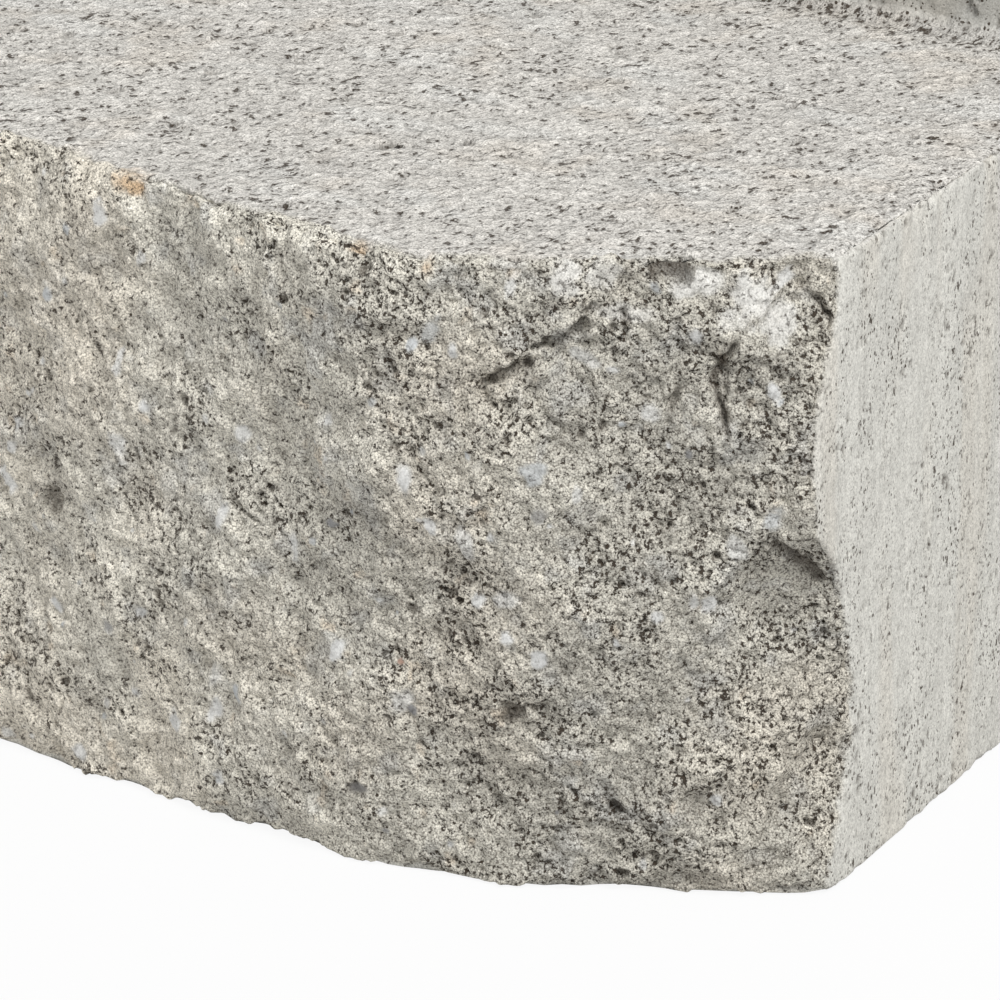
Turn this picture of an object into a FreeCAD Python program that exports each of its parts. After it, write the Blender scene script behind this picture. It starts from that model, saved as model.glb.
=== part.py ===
import FreeCAD, Part
import math
import os

import Sketcher

# Retaining wall block, cast in one piece of dry concrete and split along its face.
# X runs along the face, Y from the split face (front) to the rear lip, Z up.
# The origin is at the middle of the underside. Lengths in millimetres, angles in degrees.

os.makedirs("parts", exist_ok=True)
doc = FreeCAD.newDocument("RetainingWallBlock")
sheet = doc.addObject("Spreadsheet::Sheet", "Sizes")

SIZES = {
    # Overall block, without the lip
    "face_width": 298.0,
    "block_depth": 171.5,
    "block_height": 101.6,
    # Plan of the split face: a main facet, and a bevel at each end
    "corner_setback": 35.0,
    "bevel_run": 50.0,
    "facet_blend": 75.0,
    # Cast sides and rear
    "side_taper": 10.5,
    "rear_corner_radius": 8.0,
    "arris_round": 1.0,
    # Rear lip that hooks over the course beside it
    "lip_thickness": 28.5,
    "lip_height": 19.0,
    "lip_draft": 5.0,
    "lip_fillet": 4.0,
    # Split face: how far it lies behind its plan line, its waves and its worn arrises
    "break_back": 2.25,
    "long_wave": 204.2,
    "long_rise": 5.0,
    "middle_wave": 101.0,
    "middle_rise": 1.14,
    "broad_wave": 56.0,
    "broad_rise": 1.0,
    "cross_wave": 30.7,
    "cross_rise": 0.6,
    "short_wave": 28.9,
    "short_rise": 0.41,
    "arris_fall": 1.6,
    "arris_fade": 7.0,
    "corner_wave": 90.0,
    "corner_rise": 6.4,
    "corner_fade": 9.0,
    # Hollows in the split face: radius, depth, and place in from the right corner and below the bed
    "socket_radius": 3.0,
    "socket_depth": 2.2,
    "socket_inset": 22.4,
    "socket_drop": 1.3,
    "corner_chip_radius": 9.0,
    "corner_chip_depth": 2.2,
    "corner_chip_inset": 1.4,
    "corner_chip_drop": 6.4,
    "upper_spall_radius": 45.0,
    "upper_spall_depth": 1.8,
    "upper_spall_inset": 30.5,
    "upper_spall_drop": 20.0,
    "lower_spall_radius": 14.0,
    "lower_spall_depth": 2.6,
    "lower_spall_inset": 4.0,
    "lower_spall_drop": 56.0,
    # Cast blank ahead of the split face, which comes away with the offcut
    "blank_allowance": 25.0,
}

for row, (name, value) in enumerate(SIZES.items(), start=1):
    sheet.set(f"A{row}", name)
    sheet.set(f"B{row}", str(value))
    sheet.setAlias(f"B{row}", name)
doc.recompute()


# Sketcher numbers: the start and end of a line, the origin point and the vertical axis
START, END = range(1, 3)
ORIGIN, VERTICAL_AXIS = range(-1, -3, -1)


def size(name):
    return float(sheet.get(name))


def origin_plane(body, role):
    for feature in body.Origin.OriginFeatures:
        if feature.Role == role:
            return feature
    raise ValueError(role)


def new_sketch(body, name, role):
    sketch = body.newObject("Sketcher::SketchObject", name)
    sketch.AttachmentSupport = (origin_plane(body, role), [""])
    sketch.MapMode = "FlatFace"
    return sketch


def draw_outline(sketch, points):
    """Draw a closed outline of straight lines and join their ends."""
    ends = [FreeCAD.Vector(x, y, 0) for x, y in points]
    count = len(ends)
    for i in range(count):
        sketch.addGeometry(Part.LineSegment(ends[i], ends[(i + 1) % count]))
    for i in range(count):
        sketch.addConstraint(Sketcher.Constraint("Coincident", i, END, (i + 1) % count, START))


def bind(sketch, name, expression, *constraint):
    """Add a named dimension to a sketch and tie it to the sheet."""
    index = sketch.addConstraint(Sketcher.Constraint(*constraint))
    sketch.renameConstraint(index, name)
    sketch.setExpression(f"Constraints.{name}", expression)


half_width = size("face_width") / 2
front = -size("block_depth") / 2
rear = size("block_depth") / 2
corner_y = front + size("corner_setback")
blank_front = front - size("blank_allowance")
height = size("block_height")
taper = math.tan(math.radians(size("side_taper")))
lip_front = rear - size("lip_thickness")
lip_lean = size("lip_height") * math.tan(math.radians(size("lip_draft")))


def side_at(y):
    """Give how far the tapered side stands from the middle."""
    return half_width + (corner_y - y) * taper


# Cast block: the plan between its tapered sides, as high as the lip. The sides pass
# through the front corners and run on to the front of the blank.
body = doc.addObject("PartDesign::Body", "CastBlock")
plan = new_sketch(body, "Plan", "XY_Plane")
draw_outline(
    plan,
    [
        (side_at(rear), rear),
        (-side_at(rear), rear),
        (-side_at(blank_front), blank_front),
        (side_at(blank_front), blank_front),
    ],
)
REAR_EDGE, LEFT_SIDE, BLANK_EDGE, RIGHT_SIDE = range(4)
corner = plan.addGeometry(Part.Point(FreeCAD.Vector(half_width, corner_y, 0)), True)
plan.addConstraint(Sketcher.Constraint("Symmetric", REAR_EDGE, START, REAR_EDGE, END, VERTICAL_AXIS))
plan.addConstraint(Sketcher.Constraint("Symmetric", BLANK_EDGE, START, BLANK_EDGE, END, VERTICAL_AXIS))
plan.addConstraint(Sketcher.Constraint("PointOnObject", corner, START, RIGHT_SIDE))
bind(plan, "corner_x", "Sizes.face_width / 2", "DistanceX", ORIGIN, START, corner, START, half_width)
bind(
    plan, "corner_y", "Sizes.corner_setback - Sizes.block_depth / 2",
    "DistanceY", ORIGIN, START, corner, START, corner_y,
)
bind(plan, "rear", "Sizes.block_depth / 2", "DistanceY", ORIGIN, START, REAR_EDGE, START, rear)
bind(
    plan, "length", "Sizes.block_depth + Sizes.blank_allowance",
    "DistanceY", RIGHT_SIDE, START, RIGHT_SIDE, END, rear - blank_front,
)
bind(
    plan, "taper", "(Sizes.block_depth + Sizes.blank_allowance) * tan(Sizes.side_taper * 1deg)",
    "DistanceX", RIGHT_SIDE, END, RIGHT_SIDE, START, (rear - blank_front) * taper,
)
pad = body.newObject("PartDesign::Pad", "Casting")
pad.Profile = plan
pad.setExpression("Length", "Sizes.block_height + Sizes.lip_height")
doc.recompute()

# The bed, struck off in front of the lip. The cut runs out over the front of the blank.
step = new_sketch(body, "BedStep", "YZ_Plane")
step_front = blank_front - size("lip_height")
draw_outline(
    step,
    [
        (step_front, height),
        (lip_front, height),
        (lip_front + lip_lean, height + size("lip_height")),
        (step_front, height + size("lip_height")),
    ],
)
BED, LIP_WALL, STEP_TOP, STEP_FRONT = range(4)
for line in (BED, STEP_TOP):
    step.addConstraint(Sketcher.Constraint("Horizontal", line))
step.addConstraint(Sketcher.Constraint("Vertical", STEP_FRONT))
bind(
    step, "bed_height", "Sizes.block_height",
    "DistanceY", ORIGIN, START, BED, START, height,
)
bind(
    step, "lip_place", "Sizes.block_depth / 2 - Sizes.lip_thickness",
    "DistanceX", ORIGIN, START, BED, END, lip_front,
)
bind(
    step, "lip_height", "Sizes.lip_height",
    "DistanceY", LIP_WALL, START, LIP_WALL, END, size("lip_height"),
)
bind(
    step, "lip_lean", "Sizes.lip_height * tan(Sizes.lip_draft * 1deg)",
    "DistanceX", LIP_WALL, START, LIP_WALL, END, lip_lean,
)
bind(
    step, "run_out", "Sizes.block_depth - Sizes.lip_thickness + Sizes.blank_allowance + Sizes.lip_height",
    "DistanceX", BED, START, BED, END, lip_front - step_front,
)
bed_cut = body.newObject("PartDesign::Pocket", "BedCut")
bed_cut.Profile = step
bed_cut.Type = "ThroughAll"
bed_cut.SideType = "Symmetric"
doc.recompute()


def edge_numbers(shape, wanted):
    return [f"Edge{i}" for i, edge in enumerate(shape.Edges, start=1) if wanted(edge)]


def round_edges(name, base, numbers, size_name):
    fillet = body.newObject("PartDesign::Fillet", name)
    fillet.Base = (base, numbers)
    fillet.setExpression("Radius", f"Sizes.{size_name}")
    body.Tip = fillet
    doc.recompute()
    return fillet


TOUCH = 0.01


def is_rear_corner(edge):
    box = edge.BoundBox
    return box.YMin > rear - TOUCH and box.ZLength > height


def is_lip_base(edge):
    box = edge.BoundBox
    return abs(box.YMin - lip_front) < TOUCH and box.YLength < TOUCH and box.ZLength < TOUCH


corners = edge_numbers(bed_cut.Shape, is_rear_corner)
rear_corners = round_edges("RearCorners", bed_cut, corners, "rear_corner_radius")
lip_base = edge_numbers(rear_corners.Shape, is_lip_base)
lip_root = round_edges("LipRoot", rear_corners, lip_base, "lip_fillet")


# Worn cast arrises: every edge where the faces turn by more than this, in degrees, but
# for those of the blank's front
LEAST_TURN = 20


def is_sharp(shape, edge):
    """Tell whether the two faces at an edge meet at an angle."""
    middle = edge.valueAt((edge.FirstParameter + edge.LastParameter) / 2)
    normals = []
    for face in shape.ancestorsOfType(edge, Part.Face):
        u, v = face.Surface.parameter(middle)
        normals.append(face.normalAt(u, v))
    return len(normals) == 2 and math.degrees(normals[0].getAngle(normals[1])) > LEAST_TURN


def is_arris(edge):
    if edge.BoundBox.YMax < blank_front + TOUCH:
        return False
    return is_sharp(lip_root.Shape, edge)


arrises = edge_numbers(lip_root.Shape, is_arris)
round_edges("WornArrises", lip_root, arrises, "arris_round")


# Split face: the plan line of the face, straight along the main facet, round the blend
# and straight along the bevel, with the waves of the break standing on it
bevel_angle = math.atan2(size("corner_setback"), size("bevel_run"))
blend = size("facet_blend")
blend_reach = blend * math.tan(bevel_angle / 2)
main_half = half_width - size("bevel_run") - blend_reach
blend_length = blend * bevel_angle
bevel_length = math.hypot(size("corner_setback"), size("bevel_run")) - blend_reach
overrun = (side_at(blank_front) - half_width + size("blank_allowance")) / math.cos(bevel_angle)
corner_run = main_half + blend_length + bevel_length
half_run = corner_run + overrun


def plan_point(run):
    """Give the place on the plan line and its outward normal, by the length from the middle."""
    side = math.copysign(1, run)
    along = abs(run)
    if along <= main_half:
        x, y, turn = along, front, 0.0
    elif along <= main_half + blend_length:
        turn = (along - main_half) / blend
        x = main_half + blend * math.sin(turn)
        y = front + blend * (1 - math.cos(turn))
    else:
        turn = bevel_angle
        rest = along - main_half - blend_length
        x = main_half + blend * math.sin(turn) + rest * math.cos(turn)
        y = front + blend * (1 - math.cos(turn)) + rest * math.sin(turn)
    return side * x, y, side * math.sin(turn), -math.cos(turn)


# Waves that cover the whole face: sheet names of length and rise, then lean and start in
# radians. The long wave grows from nothing at the underside to its full rise at the bed,
# and the corner wave stands up the corners and fades towards the middle of the face, the
# underside and the bed.
LONG_START = 1.44
FACE_WAVES = (
    ("middle_wave", "middle_rise", 0.09, 2.61),
    ("broad_wave", "broad_rise", 0.67, 3.49),
    ("cross_wave", "cross_rise", -1.04, 5.72),
    ("short_wave", "short_rise", -0.07, 5.04),
)
CORNER_START = -0.19


def wave(along, length_name, rise_name, start):
    return size(rise_name) * math.sin(2 * math.pi * along / size(length_name) + start)


def back_at(run, z):
    """Give how far the break lies behind the plan line."""
    back = size("break_back") + wave(run, "long_wave", "long_rise", LONG_START) * z / height
    for length_name, rise_name, lean, start in FACE_WAVES:
        along = run * math.cos(lean) + z * math.sin(lean)
        back += wave(along, length_name, rise_name, start)
    near_corner = math.exp(-max(corner_run - abs(run), 0) / size("corner_fade"))
    near_bed = math.exp(-max(height - z, 0) / size("arris_fade"))
    near_base = math.exp(-max(z, 0) / size("arris_fade"))
    share = near_corner * (1 - near_bed) * (1 - near_base)
    back += wave(z, "corner_wave", "corner_rise", CORNER_START) * share
    return back + size("arris_fall") * (near_bed + near_base)


def face_point(run, z, stand_off=0.0):
    """Give a point of the break, or one that stands off it along the outward normal."""
    x, y, out_x, out_y = plan_point(run)
    out = stand_off - back_at(run, z)
    return FreeCAD.Vector(x + out_x * out, y + out_y * out, z)


# Spacing of the net of points that the broken surface runs through
net_step = size("short_wave") / 5
overhang = 2 * net_step
columns = 2 * math.ceil(half_run / net_step) + 1
rows = math.ceil((height + 2 * overhang) / net_step) + 1

runs = [half_run * (2 * i / (columns - 1) - 1) for i in range(columns)]
levels = [(height + 2 * overhang) * j / (rows - 1) - overhang for j in range(rows)]
net = [[face_point(run, z) for z in levels] for run in runs]

break_surface = Part.BSplineSurface()
break_surface.interpolate(net)
offcut_reach = overrun + size("corner_setback") + size("blank_allowance") + overhang
offcut = doc.addObject("Part::Feature", "Offcut")
offcut.Shape = break_surface.toShape().extrude(FreeCAD.Vector(0, -offcut_reach, 0))
offcut.Placement = FreeCAD.Placement()


def cut_away(name, base, tool):
    """Cut one solid from another, which it has to reach."""
    if base.Shape.common(tool.Shape).Volume <= 0:
        raise RuntimeError(f"{name} takes nothing away")
    cut = doc.addObject("Part::Cut", name)
    cut.Base = base
    cut.Tool = tool
    doc.recompute()
    return cut


# Finished block: what stays of the casting behind the break, less the hollows that
# chips and a lost pebble left in the right end of the face
block = cut_away("Split", body, offcut)
for name in ("socket", "corner_chip", "upper_spall", "lower_spall"):
    ball = doc.addObject("Part::Sphere", f"{name}_ball")
    ball.setExpression("Radius", f"Sizes.{name}_radius")
    run = corner_run - size(f"{name}_inset")
    level = height - size(f"{name}_drop")
    stand_off = size(f"{name}_radius") - size(f"{name}_depth")
    ball.Placement.Base = face_point(run, level, stand_off)
    doc.recompute()
    block = cut_away(name, block, ball)
block.Label = "block"
doc.recompute()

for item in doc.Objects:
    if "Invalid" in item.State or "Error" in item.State:
        raise RuntimeError(f"{item.Name} failed: {item.State}")
if bed_cut.Shape.Volume >= pad.Shape.Volume:
    raise RuntimeError("the bed cut took nothing away")
if block.Shape.isNull() or not block.Shape.isValid() or len(block.Shape.Solids) != 1:
    raise RuntimeError("the block is not one valid solid")

box = block.Shape.optimalBoundingBox(False, False)
print(f"block {box.XLength:.2f} x {box.YLength:.2f} x {box.ZLength:.2f} mm")
print(f"volume {block.Shape.Volume / 1000:.1f} cm3, faces {len(block.Shape.Faces)}")
block.Shape.exportStep(f"parts/{block.Label}.step")
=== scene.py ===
import math

import bpy
import numpy as np
from mathutils import Euler, Matrix, Vector


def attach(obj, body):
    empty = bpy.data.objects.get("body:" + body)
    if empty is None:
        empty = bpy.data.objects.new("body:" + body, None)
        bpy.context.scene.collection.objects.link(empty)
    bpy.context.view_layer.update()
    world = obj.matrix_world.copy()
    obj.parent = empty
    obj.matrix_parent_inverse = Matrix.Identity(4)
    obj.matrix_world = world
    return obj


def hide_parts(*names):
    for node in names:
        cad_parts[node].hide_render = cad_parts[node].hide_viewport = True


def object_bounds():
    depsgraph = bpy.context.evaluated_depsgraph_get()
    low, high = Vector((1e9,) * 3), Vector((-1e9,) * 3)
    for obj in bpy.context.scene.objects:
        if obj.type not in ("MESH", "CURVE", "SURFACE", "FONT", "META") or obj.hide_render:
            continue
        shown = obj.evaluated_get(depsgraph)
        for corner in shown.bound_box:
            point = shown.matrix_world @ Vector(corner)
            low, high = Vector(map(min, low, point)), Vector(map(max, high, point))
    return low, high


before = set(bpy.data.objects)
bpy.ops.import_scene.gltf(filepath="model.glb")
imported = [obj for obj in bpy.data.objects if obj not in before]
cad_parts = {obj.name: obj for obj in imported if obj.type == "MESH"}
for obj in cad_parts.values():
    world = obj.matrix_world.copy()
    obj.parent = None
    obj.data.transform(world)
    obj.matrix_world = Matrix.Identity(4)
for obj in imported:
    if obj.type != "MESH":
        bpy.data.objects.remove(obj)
cad_low, cad_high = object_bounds()

# Sizes of the block, as its source has them. Everything is in millimetres until the meshes,
# the lamps and the camera are made, which are in metres. Angles are in degrees.
MM = 0.001
FACE_WIDTH = 298.0
BLOCK_DEPTH = 171.5
HEIGHT = 101.6
CORNER_SETBACK = 35.0
BEVEL_RUN = 50.0
BLEND = 75.0
SIDE_TAPER = 10.5
REAR_CORNER_RADIUS = 8.0
CAST_ARRIS = 1.0
SPLIT_ARRIS = 1.5
LIP_THICKNESS = 28.5
LIP_HEIGHT = 19.0
LIP_DRAFT = 5.0
LIP_FILLET = 4.0

HALF_WIDTH = FACE_WIDTH / 2
FRONT = -BLOCK_DEPTH / 2
REAR = BLOCK_DEPTH / 2
CORNER_Y = FRONT + CORNER_SETBACK
TAPER = math.radians(SIDE_TAPER)
DRAFT = math.radians(LIP_DRAFT)
LIP_FRONT = REAR - LIP_THICKNESS
TOP = HEIGHT + LIP_HEIGHT
BEVEL_ANGLE = math.atan2(CORNER_SETBACK, BEVEL_RUN)
BLEND_REACH = BLEND * math.tan(BEVEL_ANGLE / 2)
MAIN_HALF = HALF_WIDTH - BEVEL_RUN - BLEND_REACH
BLEND_LENGTH = BLEND * BEVEL_ANGLE
CORNER_RUN = MAIN_HALF + BLEND_LENGTH + math.hypot(CORNER_SETBACK, BEVEL_RUN) - BLEND_REACH
BEVEL_START_X = MAIN_HALF + BLEND * math.sin(BEVEL_ANGLE)
BEVEL_START_Y = FRONT + BLEND * (1 - math.cos(BEVEL_ANGLE))

# Waves of the break: length, rise, lean and start
BREAK_BACK = 2.25
LONG_WAVE = (204.2, 5.0, 1.44)
FACE_WAVES = (
    (101.0, 1.14, 0.09, 2.61),
    (56.0, 1.0, 0.67, 3.49),
    (30.7, 0.6, -1.04, 5.72),
    (28.9, 0.41, -0.07, 5.04),
)
CORNER_WAVE = (90.0, 6.4, -0.19)
CORNER_FADE = 9.0
ARRIS_FALL = 1.6
ARRIS_FADE = 7.0

# Hollows of the right end of the face: radius, depth, inset from the corner, drop from the bed
HOLLOWS = (
    (3.0, 2.2, 22.4, 1.3),
    (9.0, 2.2, 1.4, 6.4),
    (45.0, 1.8, 30.5, 20.0),
    (14.0, 2.6, 4.0, 56.0),
)
# Worn rims of the hollows: a share of the root of a small one's radius, and a radius for the rest
SMALL_HOLLOW = 5.0
SMALL_RIM_SHARE = 0.25
LARGE_RIM = 1.8


def wave(along, length, rise, start):
    return rise * np.sin(2 * math.pi * along / length + start)


def back_at(run, z):
    """How far the break lies behind the plan line."""
    back = BREAK_BACK + wave(run, *LONG_WAVE) * z / HEIGHT
    for length, rise, lean, start in FACE_WAVES:
        back = back + wave(run * math.cos(lean) + z * math.sin(lean), length, rise, start)
    near_corner = np.exp(-np.maximum(CORNER_RUN - np.abs(run), 0) / CORNER_FADE)
    near_bed = np.exp(-np.maximum(HEIGHT - z, 0) / ARRIS_FADE)
    near_base = np.exp(-np.maximum(z, 0) / ARRIS_FADE)
    back = back + wave(z, *CORNER_WAVE) * near_corner * (1 - near_bed) * (1 - near_base)
    return back + ARRIS_FALL * (near_bed + near_base)


def face_point(run, z, stand_off=0.0):
    """Points of the break, or points that stand off it."""
    run, z = np.broadcast_arrays(np.asarray(run, float), np.asarray(z, float))
    side = np.where(run < 0, -1.0, 1.0)
    along = np.abs(run)
    turn = np.clip((along - MAIN_HALF) / BLEND, 0, BEVEL_ANGLE)
    rest = np.maximum(along - MAIN_HALF - BLEND_LENGTH, 0)
    x = np.minimum(along, MAIN_HALF) + BLEND * np.sin(turn) + rest * np.cos(turn)
    y = FRONT + BLEND * (1 - np.cos(turn)) + rest * np.sin(turn)
    out = stand_off - back_at(run, z)
    return np.stack([side * (x + np.sin(turn) * out), y - np.cos(turn) * out, z], -1)


def plan_place(x, y):
    """Run along the plan line and distance in front of it."""
    along = np.abs(x)
    reach_y = FRONT + BLEND - y
    turn = np.arctan2(along - MAIN_HALF, reach_y)
    past_x, past_y = along - BEVEL_START_X, y - BEVEL_START_Y
    rest = past_x * math.cos(BEVEL_ANGLE) + past_y * math.sin(BEVEL_ANGLE)
    bevel_out = past_x * math.sin(BEVEL_ANGLE) - past_y * math.cos(BEVEL_ANGLE)
    on_main = turn <= 0
    on_bevel = turn >= BEVEL_ANGLE
    run = np.where(on_main, along, MAIN_HALF + BLEND * turn)
    run = np.where(on_bevel, MAIN_HALF + BLEND_LENGTH + rest, run)
    out = np.where(on_main, FRONT - y, np.hypot(along - MAIN_HALF, reach_y) - BLEND)
    out = np.where(on_bevel, bevel_out, out)
    return np.where(x < 0, -run, run), out


def side_at(y):
    return HALF_WIDTH + (CORNER_Y - y) * math.tan(TAPER)


def round_meet(a, b, radius):
    """Distance to what two solids share, with the edge rounded."""
    return np.minimum(np.maximum(a, b), -radius) + np.hypot(
        np.maximum(a + radius, 0), np.maximum(b + radius, 0)
    )


def round_join(a, b, radius):
    """Distance to two solids together, with the hollow edge filled by a round."""
    return np.maximum(np.minimum(a, b), radius) - np.hypot(
        np.maximum(radius - a, 0), np.maximum(radius - b, 0)
    )


hollow_balls = []
for ball_radius, ball_depth, inset, drop in HOLLOWS:
    centre = face_point(CORNER_RUN - inset, HEIGHT - drop, ball_radius - ball_depth)
    hollow_balls.append((centre, ball_radius))


def break_distance(p):
    run, out = plan_place(p[:, 0], p[:, 1])
    distance = out + back_at(run, p[:, 2])
    for centre, ball_radius in hollow_balls:
        inside = ball_radius - np.linalg.norm(p - centre, axis=1)
        rim = SMALL_RIM_SHARE * ball_radius**0.5 if ball_radius < SMALL_HOLLOW else LARGE_RIM
        distance = round_meet(distance, inside, rim)
    return distance


def cast_distance(p):
    x, y, z = p.T
    sides = (np.abs(x) - side_at(y)) * math.cos(TAPER)
    plan = round_meet(sides, y - REAR, REAR_CORNER_RADIUS)
    wall = (LIP_FRONT - y) * math.cos(DRAFT) + (z - HEIGHT) * math.sin(DRAFT)
    lip = round_meet(wall, z - TOP, CAST_ARRIS)
    upper = round_join(z - HEIGHT, lip, LIP_FILLET)
    return round_meet(round_meet(plan, upper, CAST_ARRIS), -z, CAST_ARRIS)


def solid(p):
    return round_meet(cast_distance(p), break_distance(p), SPLIT_ARRIS)


def gradient(p):
    """The way outwards from the solid at each point, as long as the distance grows."""
    step = 0.02
    slope = np.empty_like(p)
    for axis in range(3):
        move = np.zeros(3)
        move[axis] = step
        slope[:, axis] = solid(p + move) - solid(p - move)
    return slope / (2 * step)


def settle(p, rounds=5, longest=1.5):
    """Move points onto the surface of the block, no further than the longest step at a time."""
    p = p.copy()
    for _ in range(rounds):
        slope = gradient(p)
        square = np.maximum((slope**2).sum(1), 0.05)
        step = np.clip(solid(p) / square, -longest, longest)
        p -= slope * step[:, None]
    return p


# Random values by place, the same in every run
def mixed_up(h):
    """Values from 0 to 1 for whole numbers of 32 bits."""
    h = (h ^ (h >> np.uint32(15))) * np.uint32(0x2C1B3C6D)
    h = (h ^ (h >> np.uint32(12))) * np.uint32(0x297A2D39)
    h = h ^ (h >> np.uint32(15))
    return h * (1 / 4294967296.0)


def cell_codes(cell, seed):
    """The three parts of a cell's number."""
    c = cell.astype(np.int64).astype(np.uint32)
    start = np.uint32(seed * 0x9E3779B1 & 0xFFFFFFFF)
    return (
        (c[..., 0] * np.uint32(0x8DA6B343)) ^ start,
        c[..., 1] * np.uint32(0xD8163841),
        c[..., 2] * np.uint32(0xCB1AB31F),
    )


def hashed(cell, seed):
    """A value from 0 to 1 for each whole-number cell."""
    x, y, z = cell_codes(cell, seed)
    return mixed_up(x ^ y ^ z)


def ripple(p, size, seed):
    """Smooth noise from -1 to 1 with bumps of about that size."""
    q = p / size
    cell = np.floor(q)
    f = q - cell
    f = f * f * f * (f * (f * 6 - 15) + 10)
    near = cell_codes(cell, seed)
    far = cell_codes(cell + 1, seed)
    ends = [(near[axis], far[axis]) for axis in range(3)]
    levels = []
    for z in ends[2]:
        rows = []
        for y in ends[1]:
            first, second = (mixed_up(x ^ y ^ z) for x in ends[0])
            rows.append(first + (second - first) * f[:, 0])
        levels.append(rows[0] + (rows[1] - rows[0]) * f[:, 1])
    return (levels[0] + (levels[1] - levels[0]) * f[:, 2]) * 2 - 1


# Each finer noise of a sum is shifted, so that no two line up
OCTAVE_SHIFT = 17.3
OCTAVE_RATIO = 2.03


def rough(p, size, seed, octaves=3, gain=0.5):
    """Smooth noise with finer and weaker noise on it, from -1 to 1."""
    total = np.zeros(len(p))
    level = 1.0
    reach = 0.0
    for i in range(octaves):
        total += level * ripple(p + OCTAVE_SHIFT * i, size / OCTAVE_RATIO**i, seed + i)
        reach += level
        level *= gain
    return total / reach


def pores(p, size, seed, share, least, most, stretch=None):
    """Hollows at scattered points: 1 in the middle of each and 0 outside. Each cell of the
    given size holds one with the given share, of a radius between least and most."""
    q = p / size if stretch is None else p / (size * np.asarray(stretch))
    cell = np.floor(q)
    best = np.zeros(len(p))
    for i in (-1, 0, 1):
        for j in (-1, 0, 1):
            for k in (-1, 0, 1):
                near = cell + np.array([i, j, k])
                there = hashed(near, seed) < share
                if not there.any():
                    continue
                spot = near[there] + 0.15 + 0.7 * np.stack(
                    [hashed(near[there], seed + n) for n in (1, 2, 3)], -1
                )
                radius = least + (most - least) * hashed(near[there], seed + 4) ** 2
                away = np.linalg.norm(q[there] - spot, axis=1) * size / radius
                best[there] = np.maximum(best[there], 1 - np.clip(away, 0, 1) ** 2)
    return best


def smooth(x, low, high):
    """0 below the low value, 1 above the high one, and an even rise between them."""
    t = np.clip((x - low) / (high - low), 0, 1)
    return t * t * (3 - 2 * t)


# The net of points that covers the block. Patches meet along shared lines of points.
points = []
count = 0


def add_points(p):
    """Keep points and give their numbers."""
    global count
    p = np.asarray(p, float)
    flat = p.reshape(-1, 3)
    points.append(flat)
    numbers = np.arange(count, count + len(flat)).reshape(p.shape[:-1])
    count += len(flat)
    return numbers


def quads(grid):
    """Triangles of a grid of point numbers, two for each field."""
    a, b = grid[:-1, :-1].ravel(), grid[1:, :-1].ravel()
    c, d = grid[1:, 1:].ravel(), grid[:-1, 1:].ravel()
    fields = np.add.outer(np.arange(grid.shape[0] - 1), np.arange(grid.shape[1] - 1))
    flip = (fields % 2).ravel() == 1
    one = np.where(flip[:, None], np.stack([a, b, d], 1), np.stack([a, b, c], 1))
    two = np.where(flip[:, None], np.stack([b, c, d], 1), np.stack([a, c, d], 1))
    return np.concatenate([one, two])


def zipped(first, second, place):
    """Triangles between two lines of points that run side by side."""
    first, second = list(first), list(second)

    def shares(line):
        spots = place[line]
        steps = np.linalg.norm(np.diff(spots, axis=0), axis=1)
        return np.concatenate([[0], np.cumsum(steps)]) / steps.sum()

    at, bt = shares(first), shares(second)
    faces = []
    i = j = 0
    while i < len(first) - 1 or j < len(second) - 1:
        move_first = j == len(second) - 1 or (i < len(first) - 1 and at[i + 1] <= bt[j + 1])
        if move_first:
            faces.append((first[i], first[i + 1], second[j]))
            i += 1
        else:
            faces.append((first[i], second[j + 1], second[j]))
            j += 1
    return np.array(faces)


# Places of the net's points next to an arris
ARRIS_STEPS = [0, 0.35, 0.8, 1.4]


def spaced(length, step, start_arris=True, end_arris=True):
    """Places from 0 to the length, closer together at the ends that are arrises."""
    start = ARRIS_STEPS if start_arris else [0]
    end = [length - e for e in reversed(ARRIS_STEPS)] if end_arris else [length]
    number = max(int(round((end[0] - start[-1]) / step)), 1)
    middle = np.linspace(start[-1], end[0], number + 1)
    return np.concatenate([start[:-1], middle, end[1:]])


FINE = 0.33
MEDIUM = 0.66

LEFT_STEP = 2 * FINE + 0.4
LEFT_LOW_STEP = 1.2
LIP_TOP_STEP = 1.2
REAR_STEP = 2.0
REAR_LEVEL_STEP = 1.5
BASE_STEP = 2.4

# Where the net changes on the split face, as runs from the middle, and on the bed, as shares
# of its half width and of its depth
LEFT_SEAM = 8.0
RIGHT_SEAM = 84.0
BED_SEAM = -0.30
BED_CLOSE_PART = 0.62


def runs_at(share, z):
    """Runs at which the break reaches a share of the half width, 1 or -1 at the cast sides."""
    share, z = np.broadcast_arrays(share, z)
    high = np.full(z.shape, CORNER_RUN + 20.0)
    low = -high
    for _ in range(40):
        middle = (low + high) / 2
        p = face_point(middle, z)
        before = p[:, 0] / side_at(p[:, 1]) < share
        low = np.where(before, middle, low)
        high = np.where(before, high, middle)
    return low


fine_z = np.linspace(0, HEIGHT, int(HEIGHT / FINE) + 1)
left_z = np.linspace(0, HEIGHT, int(HEIGHT / (2 * FINE)) + 1)


def face_grid(start, end, z, step):
    """A grid of the split face between two runs, which may change with height."""
    start = np.broadcast_to(start, z.shape)
    end = np.broadcast_to(end, z.shape)
    number = int(round(np.mean(end - start) / step)) + 1
    share = np.linspace(0, 1, number)[:, None]
    run = start + (end - start) * share
    return face_point(run, np.broadcast_to(z, run.shape))


middle_grid = add_points(face_grid(LEFT_SEAM, RIGHT_SEAM, fine_z, FINE))
right_new = add_points(face_grid(RIGHT_SEAM, runs_at(1.0, fine_z), fine_z, FINE)[1:])
right_grid = np.concatenate([middle_grid[-1:], right_new])
left_inner = add_points(face_grid(runs_at(-1.0, left_z), LEFT_SEAM, left_z, 2 * FINE)[:-1])

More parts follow.
